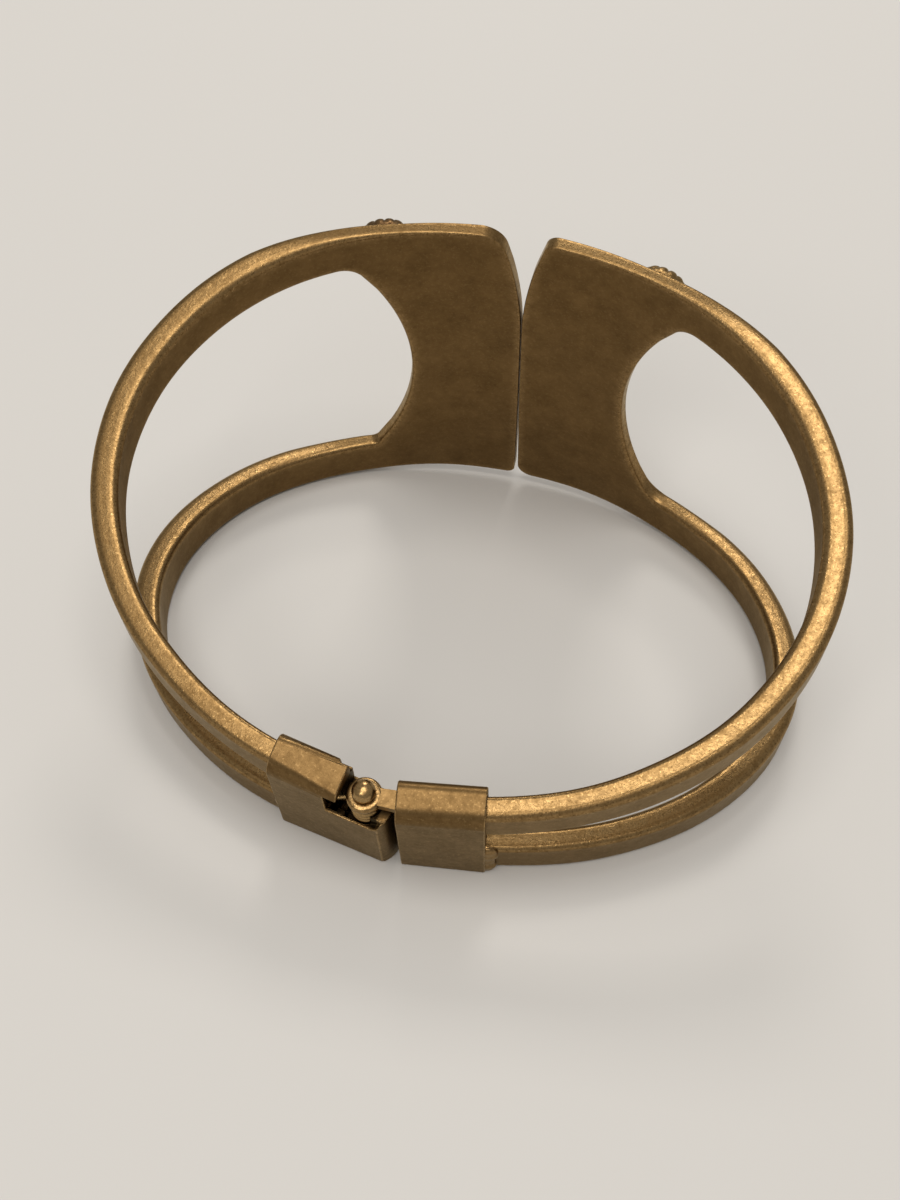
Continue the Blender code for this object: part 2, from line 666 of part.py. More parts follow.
def build():
    for item in list(bpy.data.objects):
        bpy.data.objects.remove(item)
    rest = empty("bangle_rest")
    rest.rotation_euler.x = RIM_ANGLE

    left_frame = hinge_frame(-(LEFT_BOX_START - LEFT_RAIL_IN_BOX * LEFT_BOX_TANGENT))
    right_frame = hinge_frame(RIGHT_BOX_START - RIGHT_RAIL_IN_BOX * RIGHT_BOX_TANGENT)
    pin_along = along(left_frame, -PIN_FROM_MIDDLE)
    pin = left_frame @ Vector((pin_along, 0.0, 0.0))
    pin_from_right = right_frame.inverted() @ pin
    right_box_end = along(right_frame, RIGHT_BOX_START)
    right_box_start = pin_from_right.x + BOX_END_RADIUS + CLEARANCE
    right_rail_start = along(right_frame, RIGHT_BOX_START) - RIGHT_RAIL_IN_BOX
    swing = empty("hinge_axis", rest, pin)

    cast = brass("aged_brass", AGED_BRASS, 0.42)
    folded = brass("box_brass", BOX_BRASS, 0.45)
    turned = brass("pin_brass", PIN_BRASS, 0.3)
    drawn = brass("spring_brass", SPRING_BRASS, 0.32)
    raised = brass("ornament_brass", ORNAMENT_BRASS, 0.35)

    left_size = (LEFT_BOX_START, LEFT_RAIL_IN_BOX, LEFT_PLATE_TOP_CORNER)
    right_size = (RIGHT_BOX_START, RIGHT_RAIL_IN_BOX, RIGHT_PLATE_TOP_CORNER)
    make_half("left_half", -1, *left_size, rest, cast)
    make_half("right_half", 1, *right_size, swing, cast)
    make_left_box(left_frame, pin_along, rest, folded)
    make_right_box(right_frame, right_box_start, right_box_end, swing, folded)
    eye = (pin_from_right.x, pin_from_right.y)
    make_tongue(right_frame, eye, right_box_start, right_rail_start, swing, turned)
    make_pin(pin, rest, turned)
    make_spring(left_frame, pin_along, rest, drawn)
    make_ornament("left_ornament", -1, rest, raised)
    make_ornament("right_ornament", 1, swing, raised)
    centre_base(rest)


build()
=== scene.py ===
import json
import math

import bmesh
import bpy
import numpy as np
from mathutils import Matrix, Vector


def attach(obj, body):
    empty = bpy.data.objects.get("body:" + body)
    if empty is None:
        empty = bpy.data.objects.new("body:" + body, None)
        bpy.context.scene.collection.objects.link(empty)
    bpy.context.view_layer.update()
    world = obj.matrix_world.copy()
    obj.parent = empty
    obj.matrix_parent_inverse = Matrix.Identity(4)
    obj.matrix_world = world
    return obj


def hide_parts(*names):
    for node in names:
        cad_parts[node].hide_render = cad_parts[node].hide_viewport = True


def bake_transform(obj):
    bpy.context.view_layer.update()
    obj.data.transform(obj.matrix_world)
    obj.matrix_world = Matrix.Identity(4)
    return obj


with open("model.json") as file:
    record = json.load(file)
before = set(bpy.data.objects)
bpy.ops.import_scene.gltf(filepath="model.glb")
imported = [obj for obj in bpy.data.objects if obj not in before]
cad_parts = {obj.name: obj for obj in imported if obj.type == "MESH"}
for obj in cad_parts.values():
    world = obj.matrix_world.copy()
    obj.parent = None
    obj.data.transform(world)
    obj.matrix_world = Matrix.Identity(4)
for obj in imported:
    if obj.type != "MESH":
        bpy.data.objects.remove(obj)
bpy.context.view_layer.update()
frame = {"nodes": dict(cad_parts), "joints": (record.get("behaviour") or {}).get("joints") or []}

# The two halves
# Each half is one brass casting: a tall plate that forks into an upper and a lower rail, with its
# edges rounded by filing. It is laid out flat, then bent round the oval; its rails end in a box.
MM = 0.001
HALF_WIDTH = 60.0 * MM / 2
HALF_DEPTH = 46.4 * MM / 2
BAND = 2.0 * MM
PIN_X = -2.4 * MM
LEFT_BOX_START = 10.4 * MM
RIGHT_BOX_START = 7.6 * MM
LEFT_RAIL_IN_BOX = 4.6 * MM
RIGHT_RAIL_IN_BOX = 4.2 * MM
LEFT_BOX_TANGENT = 0.7
RIGHT_BOX_TANGENT = 0.5
BOX_SEAT = 0.06 * MM

hinge = frame["joints"][0]
LEAN = math.atan2(hinge["axis"][1], -hinge["axis"][2])


def box_axes(x):
    """Origin, direction along and direction across of a hinge box, in the bangle's own axes.

    The box lies along the tangent of the band's middle oval at x, set a little to the inside.
    """
    width = HALF_WIDTH + BAND / 2
    depth = HALF_DEPTH + BAND / 2
    y = -depth * math.sqrt(1.0 - (x / width) ** 2)
    slope = math.atan(-(depth / width) ** 2 * x / y)
    along = np.array([math.cos(slope), math.sin(slope), 0.0])
    across = np.array([-math.sin(slope), math.cos(slope), 0.0])
    return np.array([x, y, 0.0]) + across * BOX_SEAT, along, across


LEFT_AXES = box_axes(-(LEFT_BOX_START - LEFT_RAIL_IN_BOX * LEFT_BOX_TANGENT))
RIGHT_AXES = box_axes(RIGHT_BOX_START - RIGHT_RAIL_IN_BOX * RIGHT_BOX_TANGENT)
PIN = LEFT_AXES[0] + LEFT_AXES[1] * ((PIN_X - LEFT_AXES[0][0]) / LEFT_AXES[1][0])
TURN_TO_REST = np.array(Matrix.Rotation(LEAN, 3, "X"))
REST_PLACE = np.array(hinge["pos_m"]) - TURN_TO_REST @ PIN


def to_rest(points):
    """Points of the bangle's own axes (X right, Y to the plates, Z along the pin), as it lies."""
    return points @ TURN_TO_REST.T + REST_PLACE


PATINA = (0.130, 0.073, 0.0245, 1.0)
PATINA_PALE = (0.200, 0.118, 0.0435, 1.0)
WORN_BRASS = (0.440, 0.285, 0.125, 1.0)
# Near black, for painted shade in the hinge beside the pin and in the spring's well.
PAINTED_SHADE_COLOUR = (0.016, 0.010, 0.005, 1.0)
EDGE_TINT = (0.95, 0.91, 0.78, 1.0)
CLOUD_SIZE = 2.6 * MM
SPECK_SIZE = 0.55 * MM
GRIT_SIZE = 0.24 * MM
PIT_SIZE = 0.16 * MM
CLOUD_SHARE = 0.6
PIT_SHARE = 0.5
# Each range below is stretched from its first two values to its last two, or to 0 and 1.
DARK_TO_PALE = (0.32, 0.68)
SPECKS_RUBBED = (0.3, 0.62, 0.35, 1.0)
GRAINS_BRIGHT = (0.56, 0.68, 0.0, 0.75)
PITS_DARK = (0.46, 0.34, 0.0, 0.75)
GRAIN_FROM_WEAR = (0.0, 0.4, 0.15, 1.0)
SATIN = (0.35, 0.65, 0.46, 0.38)
POLISH = 0.26
RELIEF = 0.016 * MM


def link(tree, start, start_name, end, end_name):
    """Join a named output of one node to a named input of another."""
    tree.links.new(start.outputs[start_name], end.inputs[end_name])


def noise(tree, vector, size, detail, roughness=0.55):
    """A noise whose features are about size across, in metres."""
    node = tree.nodes.new("ShaderNodeTexNoise")
    node.inputs["Scale"].default_value = 1.0 / size
    node.inputs["Detail"].default_value = detail
    node.inputs["Roughness"].default_value = roughness
    tree.links.new(vector, node.inputs["Vector"])
    return node.outputs["Fac"]


def remap(tree, value, low, high, new_low=0.0, new_high=1.0):
    """Stretch low..high to new_low..new_high, held at both ends."""
    node = tree.nodes.new("ShaderNodeMapRange")
    node.inputs["From Min"].default_value = low
    node.inputs["From Max"].default_value = high
    node.inputs["To Min"].default_value = new_low
    node.inputs["To Max"].default_value = new_high
    tree.links.new(value, node.inputs["Value"])
    return node.outputs["Result"]


def maths(tree, operation, first, second):
    """A Math node on two sockets or numbers."""
    node = tree.nodes.new("ShaderNodeMath")
    node.operation = operation
    for slot, value in zip(node.inputs, (first, second)):
        if isinstance(value, (int, float)):
            slot.default_value = value
        else:
            tree.links.new(value, slot)
    return node.outputs["Value"]


def mixed(tree, factor, first, second):
    """Mix two colours, each a socket or a constant."""
    node = tree.nodes.new("ShaderNodeMix")
    node.data_type = "RGBA"
    tree.links.new(factor, node.inputs["Factor"])
    for slot, value in ((node.inputs["A"], first), (node.inputs["B"], second)):
        if isinstance(value, tuple):
            slot.default_value = value
        else:
            tree.links.new(value, slot)
    return node.outputs["Result"]


def patina_group():
    """Colour, roughness and relief of aged brass from a place on it and how worn it is there.

    Clouds and specks of two sizes mix the dark patina with the pale one. Wear, broken up by the
    specks, mixes in bare brass, and brings out bright grains and dark pits.
    """
    tree = bpy.data.node_groups.new("aged_brass_patina", "ShaderNodeTree")
    tree.interface.new_socket("Place", in_out="INPUT", socket_type="NodeSocketVector")
    tree.interface.new_socket("Wear", in_out="INPUT", socket_type="NodeSocketFloat")
    for name in ("Patina", "Pale", "Worn"):
        tree.interface.new_socket(name, in_out="INPUT", socket_type="NodeSocketColor")
    tree.interface.new_socket("Color", in_out="OUTPUT", socket_type="NodeSocketColor")
    tree.interface.new_socket("Roughness", in_out="OUTPUT", socket_type="NodeSocketFloat")
    tree.interface.new_socket("Relief", in_out="OUTPUT", socket_type="NodeSocketFloat")
    given = tree.nodes.new("NodeGroupInput")
    made = tree.nodes.new("NodeGroupOutput")
    place, wear = given.outputs["Place"], given.outputs["Wear"]
    clouds = noise(tree, place, CLOUD_SIZE, 4.0)
    specks = noise(tree, place, SPECK_SIZE, 3.0, 0.65)
    grit = noise(tree, place, GRIT_SIZE, 2.0)
    pits = noise(tree, place, PIT_SIZE, 2.0)
    cloud_part = maths(tree, "MULTIPLY", clouds, CLOUD_SHARE)
    speck_part = maths(tree, "MULTIPLY", specks, 1.0 - CLOUD_SHARE)
    mottle = maths(tree, "ADD", cloud_part, speck_part)
    tone = remap(tree, mottle, *DARK_TO_PALE)
    patina = mixed(tree, tone, given.outputs["Patina"], given.outputs["Pale"])
    grainy = remap(tree, wear, *GRAIN_FROM_WEAR)
    rubbed = maths(tree, "MULTIPLY", wear, remap(tree, specks, *SPECKS_RUBBED))
    grains = maths(tree, "MULTIPLY", remap(tree, grit, *GRAINS_BRIGHT), grainy)
    bright = maths(tree, "MAXIMUM", rubbed, grains)
    dark = maths(tree, "MULTIPLY", remap(tree, pits, *PITS_DARK), grainy)
    rubbed_colour = mixed(tree, bright, patina, given.outputs["Worn"])
    tree.links.new(mixed(tree, dark, rubbed_colour, given.outputs["Patina"]), made.inputs["Color"])
    satin = remap(tree, mottle, *SATIN)
    polish = maths(tree, "MULTIPLY", bright, POLISH)
    tree.links.new(maths(tree, "SUBTRACT", satin, polish), made.inputs["Roughness"])
    grain = maths(tree, "ADD", specks, maths(tree, "ADD", grit, maths(tree, "MULTIPLY", pits, PIT_SHARE)))
    tree.links.new(maths(tree, "MULTIPLY", grain, grainy), made.inputs["Relief"])
    return tree


PATINA_GROUP = patina_group()


def brass(name, patina=PATINA, pale=PATINA_PALE, worn=WORN_BRASS, relief=RELIEF, painted_shade=None):
    """Aged brass that reads the piece's own wear attribute; the given mask paints shade, near black,
    where it is full.
    """
    material = bpy.data.materials.new(name)
    material.use_nodes = True
    tree = material.node_tree
    shader = tree.nodes["Principled BSDF"]
    shader.inputs["Metallic"].default_value = 1.0
    shader.inputs["Specular Tint"].default_value = EDGE_TINT
    place = tree.nodes.new("ShaderNodeTexCoord")
    wear = tree.nodes.new("ShaderNodeAttribute")
    wear.attribute_name = "wear"
    group = tree.nodes.new("ShaderNodeGroup")
    group.node_tree = PATINA_GROUP
    for socket, colour in (("Patina", patina), ("Pale", pale), ("Worn", worn)):
        group.inputs[socket].default_value = colour
    bump = tree.nodes.new("ShaderNodeBump")
    bump.inputs["Distance"].default_value = relief
    link(tree, place, "Object", group, "Place")
    link(tree, wear, "Fac", group, "Wear")
    colour = group.outputs["Color"]
    # Painted shade: where the mask is full, the colour goes to near black.
    if painted_shade:
        colour = mixed(tree, painted_shade(tree, place.outputs["Object"]), colour, PAINTED_SHADE_COLOUR)
    tree.links.new(colour, shader.inputs["Base Color"])
    link(tree, group, "Roughness", shader, "Roughness")
    link(tree, group, "Relief", bump, "Height")
    link(tree, bump, "Normal", shader, "Normal")
    return material


PLATE_HEIGHT = 38.0 * MM
HINGE_HEIGHT = 13.2 * MM
LEVEL_RIM_DEPTH = 4.2 * MM
RIM_KNEE = 1.0 * MM
PLATE = 1.3 * MM
THICKENING_LENGTH = 13.0 * MM
RAIL_SWELL = 0.5 * MM
EDGE_ROUND = 0.60 * MM
PLATE_EDGE_ROUND = 0.2 * MM
ROUND_GROWS_FROM = 2.0 * MM
ROUND_GROWS_OVER = 16.0 * MM
UPPER_RAIL = 4.3 * MM
LOWER_RAIL = 5.0 * MM
SLOT_FROM_SPLIT = 10.6 * MM
SLOT_END_RADIUS = 25.0 * MM
SLOT_TOP_CORNER = 2.4 * MM
SLOT_TOP_RUN = 4.5 * MM
SLOT_BOTTOM_RUN = 1.4
SLOT_END_SPAN = (0.80, 0.78)
SPLIT_SPAN = 0.8
EDGE_POINTS = 60
RUN_POINTS = 10
LOWER_FORK = 5.0 * MM
UPPER_FORK = 6.0 * MM
LEFT_SLOT_CORNER = 0.9 * MM
RIGHT_SLOT_CORNER = 3.0 * MM
SPLIT_GAP = 0.10 * MM
MEET_LEVEL = 6.0 * MM
SET_BACK_TOP = 2.0 * MM
SET_BACK_BOTTOM = 0.15 * MM
LEFT_PLATE_TOP_CORNER = 2.6 * MM
RIGHT_PLATE_TOP_CORNER = 1.2 * MM
LEFT_PLATE_BOTTOM_CORNER = 0.9 * MM
RIGHT_PLATE_BOTTOM_CORNER = 1.6 * MM
CLEARANCE = 0.3 * MM
BOX_WALL = 0.4 * MM
WAVINESS = 0.025 * MM
RIPPLE_ALONG = 1.9 * MM
RIPPLE_UP = 2.3 * MM
WAVE_ALONG = 4.1 * MM
WAVE_UP = 3.1 * MM
OUTSIDE_WEAR = 0.08
LEFT_RIM_WEAR = 0.32
# The right rim's wall and the slot's walls, which hold the lower rail's top, are worn, and their wear is
# raised further for a painted highlight.
RIGHT_RIM_WEAR_AND_HIGHLIGHT = 0.58
SLOT_WEAR_AND_HIGHLIGHT = 0.50
EDGE_WEAR = 0.28
CORNER_WEAR = 0.24
FACE_WEAR = 0.14
FACE_WEAR_REACH = 0.4 * MM

RIM_LEVEL_FROM = HALF_DEPTH - LEVEL_RIM_DEPTH
RIM_SLOPE = math.tan(LEAN)
OVAL_POINTS = 4001
OVAL_TURN = np.linspace(0.0, math.pi, OVAL_POINTS)
OVAL_STEPS = np.hypot(np.diff(HALF_WIDTH * np.sin(OVAL_TURN)), np.diff(HALF_DEPTH * np.cos(OVAL_TURN)))
OVAL_ARC = np.concatenate([[0.0], np.cumsum(OVAL_STEPS)])


def oval_place(arc, depth):
    """Plan position at an arc length from the split, pushed out along the oval's normal."""
    turn = np.interp(arc, OVAL_ARC, OVAL_TURN)
    normal = np.stack([np.sin(turn) / HALF_WIDTH, np.cos(turn) / HALF_DEPTH])
    normal /= np.linalg.norm(normal, axis=0)
    return HALF_WIDTH * np.sin(turn) + depth * normal[0], HALF_DEPTH * np.cos(turn) + depth * normal[1]


def arc_near_hinge(x):
    """Arc length at which the oval comes within x of the middle, on the hinge's side."""
    far = len(OVAL_TURN) // 2
    return float(np.interp(-x, -HALF_WIDTH * np.sin(OVAL_TURN[far:]), OVAL_ARC[far:]))


def rim_height(y):
    """Half the band's height: a straight slope from the hinge that turns level at the plates."""
    drop = RIM_KNEE * np.logaddexp(0.0, (RIM_LEVEL_FROM - y) / RIM_KNEE)
    return PLATE_HEIGHT / 2 - RIM_SLOPE * drop


def rim_at(arc):
    """Half the band's height at an arc length from the split."""
    return rim_height(oval_place(arc, 0.0)[1])


def split_edge(level):
    """The plate's free end: straight where the plates meet, with a parabola above and one below."""
    above = np.clip((level - MEET_LEVEL) / (PLATE_HEIGHT / 2 - MEET_LEVEL), 0.0, 1.0)
    below = np.clip(-level / (PLATE_HEIGHT / 2), 0.0, 1.0)
    return SPLIT_GAP / 2 + SET_BACK_TOP * above ** 2 + SET_BACK_BOTTOM * below ** 2


def slot_edge(level):
    """The slot's round end: a circle of large radius."""
    return SLOT_FROM_SPLIT + SLOT_END_RADIUS - np.sqrt(SLOT_END_RADIUS ** 2 - level ** 2)


def rounded(before, corner, after, radius, steps=20):
    """Arc that rounds a corner between two straight directions."""
    before, corner, after = (np.array(point, float) for point in (before, corner, after))
    back = (before - corner) / np.linalg.norm(before - corner)
    on = (after - corner) / np.linalg.norm(after - corner)
    half = math.acos(float(np.clip(back @ on, -1.0, 1.0))) / 2
    middle = (back + on) / np.linalg.norm(back + on)
    centre = corner + middle * radius / math.sin(half)
    first = corner + back * radius / math.tan(half) - centre
    last = corner + on * radius / math.tan(half) - centre
    rays = first + (last - first) * np.linspace(0.0, 1.0, steps)[:, None]
    return centre + rays * (radius / np.linalg.norm(rays, axis=1))[:, None]


def resample(path, count):
    """The same path in count points at even distances."""
    far = np.concatenate([[0.0], np.cumsum(np.linalg.norm(np.diff(path, axis=0), axis=1))])
    even = np.linspace(0.0, far[-1], count)
    return np.stack([np.interp(even, far, path[:, 0]), np.interp(even, far, path[:, 1])], axis=1)


def left_normals(path):
    """Unit normals on the left of a path, smoothed over its neighbours."""
    way = np.gradient(path, axis=0)
    way /= np.linalg.norm(way, axis=1)[:, None]
    return np.stack([-way[:, 1], way[:, 0]], axis=1)


def half_edges(box_arc, rail_end, corners, rows=(170, 340, 190)):
    """The two edges of a half laid flat, as rows of (arc, height) that face each other.

    The outer edge follows the lower rim, the free end and the upper rim; the inner edge follows
    the slot. Both run from the lower rail's end to the upper rail's end. The corners are the radii
    at the plate's top, at its bottom, and where the slot meets the lower rail.
    """
    plate_top, plate_bottom, slot_corner = corners
    top = float(rim_at(0.0))
    slot_top = float(rim_at(SLOT_FROM_SPLIT)) - UPPER_RAIL
    slot_bottom = LOWER_RAIL - float(rim_at(SLOT_FROM_SPLIT))
    low_corner = (float(slot_edge(slot_bottom)), slot_bottom)
    high_corner = (float(slot_edge(slot_top)), slot_top)
    fork_low = low_corner[0] + LOWER_FORK
    fork_high = high_corner[0] + UPPER_FORK

    low_arc = np.linspace(rail_end, fork_low, rows[0])
    in_box = np.clip((low_arc - box_arc + CLEARANCE) / CLEARANCE, 0.0, 1.0)
    low_outer = np.stack([low_arc, in_box * (BOX_WALL + CLEARANCE) - rim_at(low_arc)], axis=1)
    low_inner = np.stack([low_arc, LOWER_RAIL - rim_at(low_arc)], axis=1)
    high_arc = np.linspace(fork_high, rail_end, rows[2])
    high_outer = np.stack([high_arc, rim_at(high_arc)], axis=1)
    high_inner = np.stack([high_arc, rim_at(high_arc) - UPPER_RAIL], axis=1)

    end_levels = np.linspace(-SPLIT_SPAN, SPLIT_SPAN, EDGE_POINTS) * top
    end = np.stack([split_edge(end_levels), end_levels], axis=1)
    bottom_arc = np.linspace(fork_low, 2.0 * plate_bottom + SET_BACK_BOTTOM, EDGE_POINTS)
    top_arc = np.linspace(LEFT_PLATE_TOP_CORNER + SET_BACK_TOP, fork_high, EDGE_POINTS)
    bottom = np.stack([bottom_arc, -rim_at(bottom_arc)], axis=1)
    upper = np.stack([top_arc, rim_at(top_arc)], axis=1)
    bottom_corner = rounded(bottom[-1], (float(split_edge(-top)), -top), end[0], plate_bottom)
    top_corner = rounded(end[-1], (float(split_edge(top)), top), upper[0], plate_top)
    plate_outer = np.vstack([bottom, bottom_corner, end, top_corner, upper])

    slot_levels = np.linspace(SLOT_END_SPAN[0] * slot_bottom, SLOT_END_SPAN[1] * slot_top, EDGE_POINTS)
    slot_end = np.stack([slot_edge(slot_levels), slot_levels], axis=1)
    lead_in = np.linspace(fork_low, low_corner[0] + SLOT_BOTTOM_RUN * slot_corner, RUN_POINTS)
    lead_out = np.linspace(high_corner[0] + SLOT_TOP_RUN, fork_high, RUN_POINTS)
    slot_low = np.stack([lead_in, LOWER_RAIL - rim_at(lead_in)], axis=1)
    slot_high = np.stack([lead_out, rim_at(lead_out) - UPPER_RAIL], axis=1)
    low_round = rounded(slot_low[-1], low_corner, slot_end[0], slot_corner)
    high_round = rounded(slot_end[-1], high_corner, slot_high[0], SLOT_TOP_CORNER)
    plate_inner = np.vstack([slot_low, low_round, slot_end, high_round, slot_high])

    outer = np.vstack([low_outer, resample(plate_outer, rows[1])[1:-1], high_outer])
    inner = np.vstack([low_inner, resample(plate_inner, rows[1])[1:-1], high_inner])
    return outer, inner


def half_grid(side, box_start, rail_in_box, corners, rim_wear_and_highlight,
              round_steps=6, face_steps=16, wall_steps=3):
    """One half as rows of closed rings, and the wear at each point, which is raised on the right rim's
    wall and on the slot's walls for a painted highlight.

    Each ring is a rectangle with rounded corners that joins a point of the outer edge to one of
    the slot's edge, laid flat; all of it is then bent round the oval. The wall thickens from the
    plate to the rails, which swell at the sides, and waves very slightly, as filed metal does.
    """
    box_arc = arc_near_hinge(box_start)
    outer, inner = half_edges(box_arc, box_arc + rail_in_box, corners)
    outer_in = -left_normals(outer)
    inner_in = left_normals(inner)
    turn = np.linspace(0.0, math.pi / 2, round_steps)
    across = np.linspace(0.0, 1.0, face_steps + 2)[1:-1]
    places, depths, wear_and_highlight_rows = [], [], []

    def edge_size(edge):
        """Radius of an edge's rounding, which grows from the split to the rails."""
        share = np.clip((edge[:, 0] - ROUND_GROWS_FROM) / ROUND_GROWS_OVER, 0.0, 1.0)
        return PLATE_EDGE_ROUND + (EDGE_ROUND - PLATE_EDGE_ROUND) * share

    def add_round(edge, way, turns, outside):
        """Quarter circle between a face and the wall of an edge, worn most in its middle."""
        size = edge_size(edge)[:, None]
        rise = size * (1.0 - np.cos(turns))
        places.append(edge[:, None] + way[:, None] * (size * (1.0 - np.sin(turns)))[..., None])
        depths.append(BAND - rise if outside else rise)
        wear_and_highlight_rows.append(np.broadcast_to(EDGE_WEAR + CORNER_WEAR * np.sin(2 * turns), rise.shape))

    def add_wall(edge, shares, worn):
        """Straight wall of an edge, between its two roundings."""
        size = edge_size(edge)[:, None]
        places.append(np.repeat(edge[:, None], len(shares), axis=1))
        depths.append(size + (BAND - 2 * size) * shares)
        wear_and_highlight_rows.append(np.full((len(edge), len(shares)), worn))

    def add_face(first, second, depth):
        """Face from one edge to the other, whose wear falls off away from both."""
        places.append(first[:, None] + (second - first)[:, None] * across[None, :, None])
        gap = np.linalg.norm(second - first, axis=1)[:, None] * np.minimum(across, 1.0 - across)
        depths.append(np.full(gap.shape, depth))
        rubbed_all_over = OUTSIDE_WEAR if depth else 0.0
        wear_and_highlight_rows.append(rubbed_all_over + FACE_WEAR * np.exp(-gap / FACE_WEAR_REACH))

    wall_shares = np.linspace(0.0, 1.0, wall_steps + 2)[1:-1]
    outer_face = outer + outer_in * edge_size(outer)[:, None]
    inner_face = inner + inner_in * edge_size(inner)[:, None]
    # The wear given to the rim's and the slot's walls also paints a highlight there.
    add_wall(outer, wall_shares, rim_wear_and_highlight)
    add_round(outer, outer_in, turn[::-1], True)
    add_face(outer_face, inner_face, BAND)
    add_round(inner, inner_in, turn, True)
    add_wall(inner, wall_shares[::-1], SLOT_WEAR_AND_HIGHLIGHT)
    add_round(inner, inner_in, turn[::-1], False)
    add_face(inner_face, outer_face, 0.0)
    add_round(outer, outer_in, turn, False)

    flat = np.concatenate(places, axis=1)
    depth = np.concatenate(depths, axis=1)
    arc, level = flat[..., 0], flat[..., 1]
    wall = PLATE + (BAND - PLATE) * np.clip((arc - SLOT_FROM_SPLIT) / THICKENING_LENGTH, 0.0, 1.0)
    along_rail = np.clip((arc - SLOT_FROM_SPLIT) / (box_arc - SLOT_FROM_SPLIT), 0.0, 1.0)
    swell = RAIL_SWELL * np.sin(math.pi * along_rail) ** 2
    ripple = np.sin(arc / RIPPLE_ALONG) * np.sin(level / RIPPLE_UP + 1.0)
    wave = np.sin(arc / WAVE_ALONG + level / WAVE_UP)
    x, y = oval_place(arc, depth * (wall + swell) / BAND - swell / 2 + WAVINESS * (ripple + wave))
    height = level * rim_height(y) / rim_height(oval_place(arc, 0.0)[1])
    return to_rest(np.stack([side * x, y, height], axis=-1)), np.concatenate(wear_and_highlight_rows, axis=1)


def grid_mesh(name, points, wear, material, close_rows=False):
    """Mesh of a grid of rings (rows, columns, 3): quads between neighbours, closed round each ring.

    The rows either close on themselves or end in a flat cap. Faces are turned to point outwards.
    """
    rows, columns = points.shape[:2]
    index = np.arange(rows * columns).reshape(rows, columns)
    on = np.roll(index, -1, axis=1)
    last = rows if close_rows else rows - 1
    below, after = index[:last], np.roll(index, -1, axis=0)[:last]
    below_on, after_on = on[:last], np.roll(on, -1, axis=0)[:last]
    quads = np.stack([below, below_on, after_on, after], axis=-1).reshape(-1, 4)
    place = points.reshape(-1, 3)
    first, second, third, fourth = np.moveaxis(place[quads] - place[0], 1, 0)
    volume = np.sum(np.cross(first, second) * third) + np.sum(np.cross(first, third) * fourth)
    faces = quads.tolist()
    if not close_rows:
        faces += [index[0][::-1].tolist(), index[-1].tolist()]
    if volume < 0:
        faces = [face[::-1] for face in faces]
    mesh = bpy.data.meshes.new(name)
    mesh.from_pydata(place, [], faces)
    wear_layer = mesh.attributes.new("wear", "FLOAT", "POINT")
    wear_layer.data.foreach_set("value", wear.ravel().astype(np.float32))
    mesh.materials.append(material)
    mesh.shade_smooth()
    mesh.update()
    piece = bpy.data.objects.new(name, mesh)
    bpy.context.scene.collection.objects.link(piece)
    return piece


half_brass = brass("half_brass")
left_corners = (LEFT_PLATE_TOP_CORNER, LEFT_PLATE_BOTTOM_CORNER, LEFT_SLOT_CORNER)
left_points, left_wear_and_highlight = half_grid(-1, LEFT_BOX_START, LEFT_RAIL_IN_BOX, left_corners, LEFT_RIM_WEAR)
left_half = grid_mesh("left_half_casting", left_points, left_wear_and_highlight, half_brass)
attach(left_half, "left_side")
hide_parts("left_half")
right_corners = (RIGHT_PLATE_TOP_CORNER, RIGHT_PLATE_BOTTOM_CORNER, RIGHT_SLOT_CORNER)
right_points, right_wear_and_highlight = half_grid(1, RIGHT_BOX_START, RIGHT_RAIL_IN_BOX, right_corners, RIGHT_RIM_WEAR_AND_HIGHLIGHT)
right_half = grid_mesh("right_half_casting", right_points, right_wear_and_highlight, half_brass)
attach(right_half, "right_side")
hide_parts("right_half")

# The hinge boxes
# Two sleeves folded from brass sheet and soldered over the ends of the rails. They are the cut solids,
# with their edges rubbed round and worn, and painted shade, near black, inside them round the spring.
BOX_PATINA = (0.105, 0.060, 0.0215, 1.0)
BOX_PALE = (0.165, 0.098, 0.0375, 1.0)
BOX_EDGE = 0.13 * MM
SAME_POINT = 0.0011 * MM
WELD = 0.11 * MM
HIDDEN_REACH = 1.0 * MM
FLAT_ANGLE = math.radians(1.0)
SHARP_ANGLE = math.radians(35.0)
CREASE_ANGLE = math.radians(40.0)
BEVEL_STEPS = 4
BOX_WEAR = 0.7
FLAT_WEAR = 0.12
# Painted shade in the hinge: full within the first distance from the pin's axis, gone past the second,
# and its darkness beside the pin and in the well.
SHADE_FULL_WITHIN = 1.38 * MM
SHADE_GONE_BEYOND = 1.60 * MM
SHADE_BY_PIN = 0.85
SHADE_IN_WELL = 0.94
WELL_MIDDLE = np.array([-0.7, 0.0, 3.75]) * MM
WELL_HALF = np.array([2.1, 1.42, 2.1]) * MM
WELL_FADE = 0.15 * MM


def from_pin(place):
    """Distance of a point from the pin's axis."""
    return (Vector(place) - Vector(hinge["pos_m"])).cross(Vector(hinge["axis"])).length


def vector_maths(tree, operation, first, second):
    """A Vector Math node on a socket and a constant."""
    node = tree.nodes.new("ShaderNodeVectorMath")
    node.operation = operation
    node.inputs[1].default_value = second
    tree.links.new(first, node.inputs[0])
    return node.outputs


